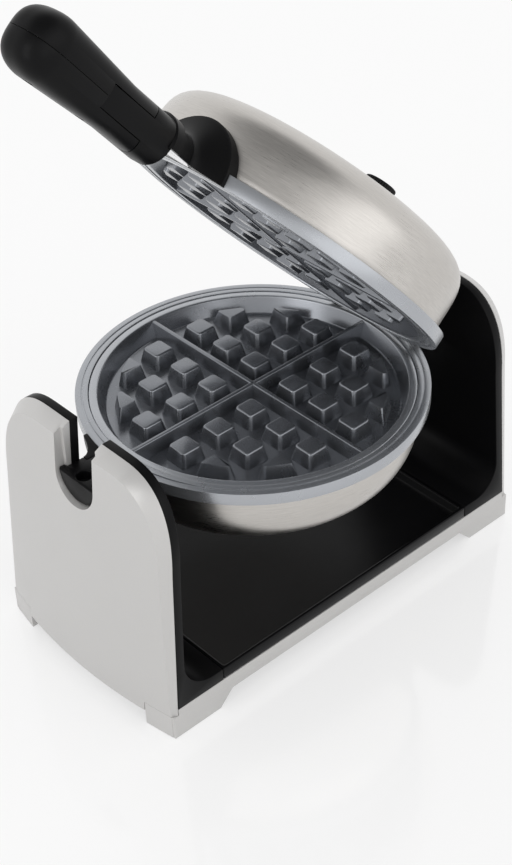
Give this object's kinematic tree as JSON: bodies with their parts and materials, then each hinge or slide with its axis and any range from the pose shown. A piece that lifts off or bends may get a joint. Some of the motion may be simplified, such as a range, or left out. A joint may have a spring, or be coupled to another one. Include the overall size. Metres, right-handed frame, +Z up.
{
  "type": "waffle maker",
  "caption": "Round flip waffle maker: domed steel iron with raised hinged lid, black folding handle and browning dial, turning in a silver and black two-sided stand over a drip tray.",
  "frame": {"origin": "On the table under the middle of the waffle maker.", "axes": "Z is up. X runs along the stand's length and the turning axis, from the handle side at -X to the lid's hinge side at +X. The pictured long side faces -Y."},
  "size_m": [0.3382, 0.236, 0.4691],
  "materials": {
    "silver": "satin silver paint over moulded plastic",
    "black_plastic": "satin black moulded plastic",
    "steel": "brushed stainless steel",
    "ring_grey": "satin cast band",
    "nonstick": "cast aluminium with dark nonstick coating",
    "dark_steel": "plain turned steel",
    "brass": "sintered bearing bush",
    "chrome": "bright plated trim",
    "rubber": "matt black rubber"
  },
  "bodies": {
    "base": {"left_cover": "silver", "right_cover": "silver", "left_liner": "black_plastic", "right_liner": "black_plastic", "front_skirt": "silver", "back_skirt": "silver", "base_pan": "black_plastic", "bottom_plate": "black_plastic", "base_screw_1": "dark_steel", "base_screw_2": "dark_steel", "base_screw_3": "dark_steel", "base_screw_4": "dark_steel", "foot_pad_1": "rubber", "foot_pad_2": "rubber", "foot_pad_3": "rubber", "foot_pad_4": "rubber", "cord_gland": "rubber", "axle_bush": "brass"},
    "drip_tray": {"drip_tray": "black_plastic"},
    "rotor": {"lower_ring": "ring_grey", "lower_plate": "nonstick", "lower_element": "dark_steel", "lower_dome": "steel", "thermostat": "black_plastic", "lower_journal": "black_plastic", "hinge_yoke": "black_plastic", "hinge_pin_front": "dark_steel", "hinge_pin_back": "dark_steel", "axle": "dark_steel", "axle_collar": "dark_steel", "lower_boot": "black_plastic"},
    "lid": {"upper_ring": "ring_grey", "upper_plate": "nonstick", "upper_element": "dark_steel", "upper_dome": "steel", "handle_neck": "black_plastic", "neck_plate": "chrome", "hinge_bracket": "black_plastic", "browning_control": "black_plastic", "dial_trim": "chrome", "upper_boot": "black_plastic"},
    "handle": {"upper_grip": "black_plastic", "lower_grip": "black_plastic", "fold_pin": "dark_steel", "grip_screw_1": "dark_steel", "grip_screw_2": "dark_steel"},
    "dial": {"dial_knob": "black_plastic", "dial_shaft": "dark_steel"}
  },
  "joints": [
    {"name": "flip", "type": "hinge", "parent": "base", "child": "rotor", "pos_m": [-0.0052, 0, 0.1629], "axis": [-1, 0, 0], "range_deg": [0, 90]},
    {"name": "lid_hinge", "type": "hinge", "parent": "rotor", "child": "lid", "pos_m": [0.1048, 0, 0.1779], "axis": [0, 1, 0], "range_deg": [-50.2, 14.8]},
    {"name": "handle_fold", "type": "hinge", "parent": "lid", "child": "handle", "pos_m": [-0.09876, 0, 0.39878], "axis": [-0.7683, 0, -0.6401], "range_deg": [0, 90]},
    {"name": "dial_turn", "type": "hinge", "parent": "lid", "child": "dial", "pos_m": [0.05551, 0, 0.21363], "axis": [0.7683, 0, 0.6401], "range_deg": [0, 270]},
    {"name": "tray_slide", "type": "slide", "parent": "base", "child": "drip_tray", "axis": [0, -1, 0], "range_m": [0, 0.15]}
  ]
}
